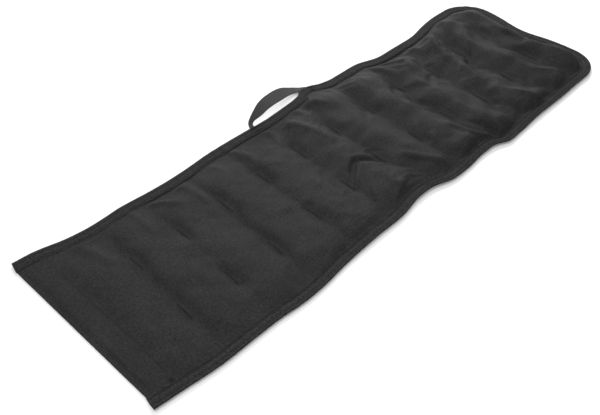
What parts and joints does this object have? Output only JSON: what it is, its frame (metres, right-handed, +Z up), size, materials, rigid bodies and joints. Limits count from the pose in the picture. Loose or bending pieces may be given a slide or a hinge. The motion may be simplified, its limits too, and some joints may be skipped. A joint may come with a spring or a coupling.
{
  "type": "padded mat",
  "caption": "Long quilted padded fabric mat with tape-bound edges, rows of tacks, one rounded end and a webbing carry handle; folds in three.",
  "frame": {"origin": "middle of the flat underside, on the surface the mat lies on", "axes": "+X along the mat's length from the straight near end to the rounded far end, +Y across it towards the edge with the handle, +Z up"},
  "size_m": [1.22, 0.4057, 0.0359],
  "materials": {
    "cover_cloth": "woven synthetic cloth, matt",
    "batting": "soft polyester wadding, hidden inside",
    "binding_tape": "ribbed woven tape",
    "thread": "sewing thread",
    "webbing": "flat woven webbing"
  },
  "bodies": {
    "middle_panel": {"middle_top_cover": "cover_cloth", "middle_bottom_cover": "cover_cloth", "middle_padding": "batting", "middle_rear_binding": "binding_tape", "middle_front_binding": "binding_tape", "middle_binding_seams": "thread", "middle_tacks": "thread", "handle_ends": "webbing", "handle_bartacks": "thread"},
    "near_panel": {"near_top_cover": "cover_cloth", "near_bottom_cover": "cover_cloth", "near_padding": "batting", "near_rear_binding": "binding_tape", "near_front_binding": "binding_tape", "near_binding_seams": "thread", "near_tacks": "thread", "closing_seam": "thread", "end_topstitch": "thread"},
    "far_panel": {"far_top_cover": "cover_cloth", "far_bottom_cover": "cover_cloth", "far_padding": "batting", "far_binding": "binding_tape", "far_binding_seams": "thread", "far_tacks": "thread"},
    "handle": {"handle_strap": "webbing"}
  },
  "joints": [
    {"name": "near_fold", "type": "hinge", "parent": "middle_panel", "child": "near_panel", "pos_m": [-0.1775, 0, 0.0175], "axis": [0, 1, 0], "range_deg": [0, 179]},
    {"name": "far_fold", "type": "hinge", "parent": "middle_panel", "child": "far_panel", "pos_m": [0.2185, 0, -0.0005], "axis": [0, 1, 0], "range_deg": [0, 179]},
    {"name": "handle_flip", "type": "hinge", "parent": "middle_panel", "child": "handle", "pos_m": [0, 0.19035, 0.00855], "axis": [-1, 0, 0], "range_deg": [0, 90]}
  ]
}
